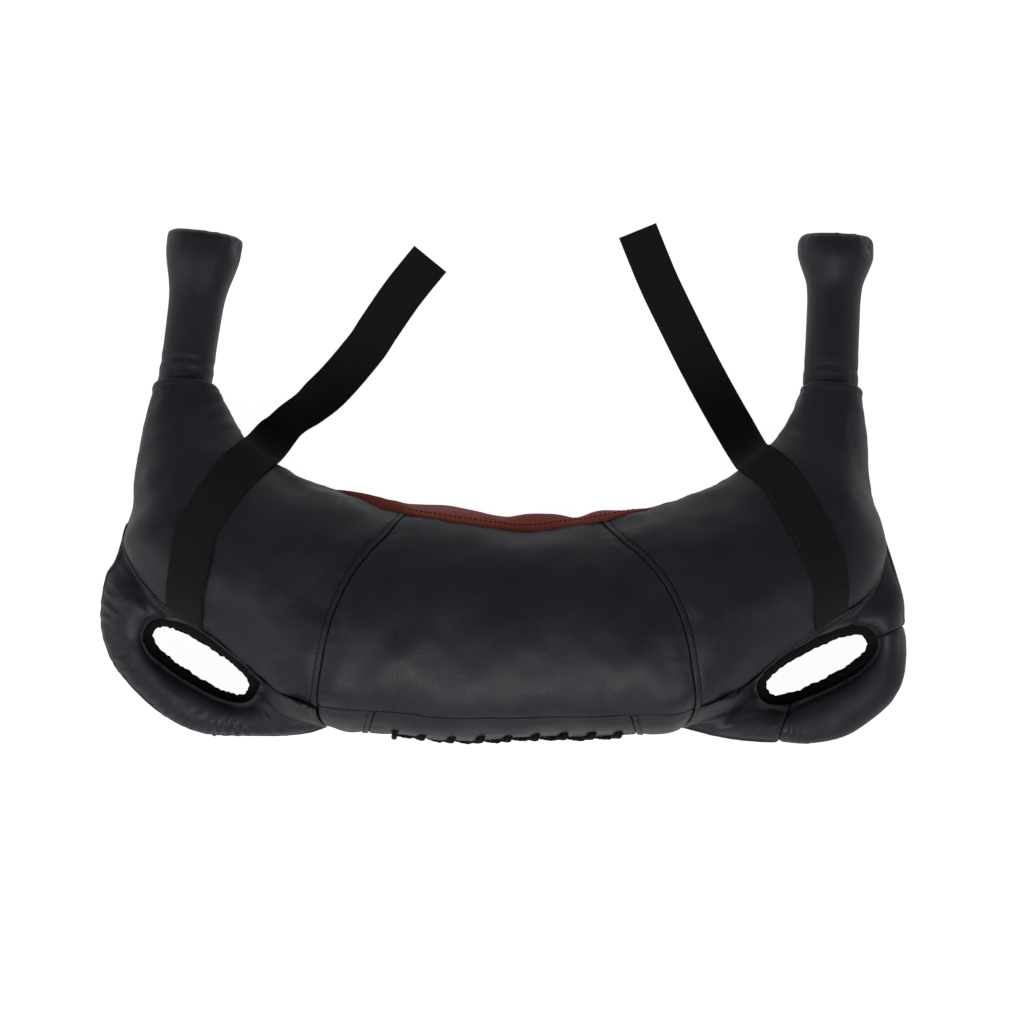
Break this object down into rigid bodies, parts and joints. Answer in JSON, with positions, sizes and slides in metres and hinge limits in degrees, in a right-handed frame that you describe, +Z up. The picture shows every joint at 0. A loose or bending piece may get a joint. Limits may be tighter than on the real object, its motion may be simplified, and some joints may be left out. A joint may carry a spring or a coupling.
{
  "type": "bulgarian bag",
  "caption": "Crescent-shaped sand-filled training bag with a grip on each horn, padded hand loops, swing straps, a padded neck edge and a laced filling slit.",
  "frame": {"origin": "middle of the flat patch on which the bag lies, under the centre panel", "axes": "+Z is up, out of the front panels; +X runs from the left horn to the right horn as seen from the front; +Y runs from the laced lower edge to the horns"},
  "size_m": [0.6752, 0.4374, 0.1613],
  "materials": {
    "black_pu_leather": "grained synthetic leather, satin",
    "brown_pu_leather": "smooth synthetic leather, satin",
    "black_webbing": "woven webbing, matte",
    "black_braided_cord": "braided cord, matte",
    "black_ribbed_tape": "ribbed elastic tape, matte",
    "sand_filling": "sand packed in woven cloth, matte",
    "padding_foam": "padding, matte",
    "grip_core_rubber": "firm foam rubber, matte"
  },
  "bodies": {
    "bag": {"front_centre_panel": "black_pu_leather", "front_left_panel": "black_pu_leather", "front_right_panel": "black_pu_leather", "back_centre_panel": "black_pu_leather", "back_left_panel": "black_pu_leather", "back_right_panel": "black_pu_leather", "left_corner_front": "black_pu_leather", "left_corner_back": "black_pu_leather", "right_corner_front": "black_pu_leather", "right_corner_back": "black_pu_leather", "right_loop_front": "black_pu_leather", "right_loop_back": "black_pu_leather", "bottom_strip_left": "black_pu_leather", "bottom_strip_right": "black_pu_leather", "lacing_lip_front": "black_pu_leather", "lacing_lip_back": "black_pu_leather", "lacing_tongue": "black_pu_leather", "neck_pad_cover": "brown_pu_leather", "left_strap": "black_webbing", "right_strap": "black_webbing", "lacing_cord": "black_braided_cord", "left_hole_binding": "black_ribbed_tape", "right_hole_binding": "black_ribbed_tape", "left_sand_bag": "sand_filling", "right_sand_bag": "sand_filling", "centre_sand_bag": "sand_filling", "neck_pad_foam": "padding_foam", "left_loop_core": "padding_foam", "right_loop_core": "padding_foam"},
    "left_grip": {"left_grip_core": "grip_core_rubber", "left_grip_end_cap": "black_pu_leather", "left_grip_sleeve": "black_pu_leather"},
    "right_grip": {"right_grip_core": "grip_core_rubber", "right_grip_end_cap": "black_pu_leather", "right_grip_sleeve": "black_pu_leather"},
    "left_strap_tail": {"left_strap_tail": "black_webbing"},
    "right_strap_tail": {"right_strap_tail": "black_webbing"}
  },
  "joints": [
    {"name": "left_grip_bend", "type": "hinge", "parent": "bag", "child": "left_grip", "pos_m": [-0.26965, 0.20966, 0.04181], "axis": [0.9903, -0.1392, 0], "range_deg": [0, 40], "stiffness_Nm_per_rad": 5, "deforming": ["left_grip_sleeve"]},
    {"name": "right_grip_bend", "type": "hinge", "parent": "bag", "child": "right_grip", "pos_m": [0.27476, 0.20684, 0.04181], "axis": [0.999, -0.0436, 0], "range_deg": [0, 40], "stiffness_Nm_per_rad": 5, "deforming": ["right_grip_sleeve"]},
    {"name": "left_strap_swing", "type": "hinge", "parent": "bag", "child": "left_strap_tail", "pos_m": [-0.20252, 0.15166, 0.05471], "axis": [0.8012, -0.5984, 0], "range_deg": [0, 120]},
    {"name": "right_strap_swing", "type": "hinge", "parent": "bag", "child": "right_strap_tail", "pos_m": [0.20657, 0.14547, 0.05498], "axis": [0.773, 0.6344, 0], "range_deg": [0, 120]}
  ]
}
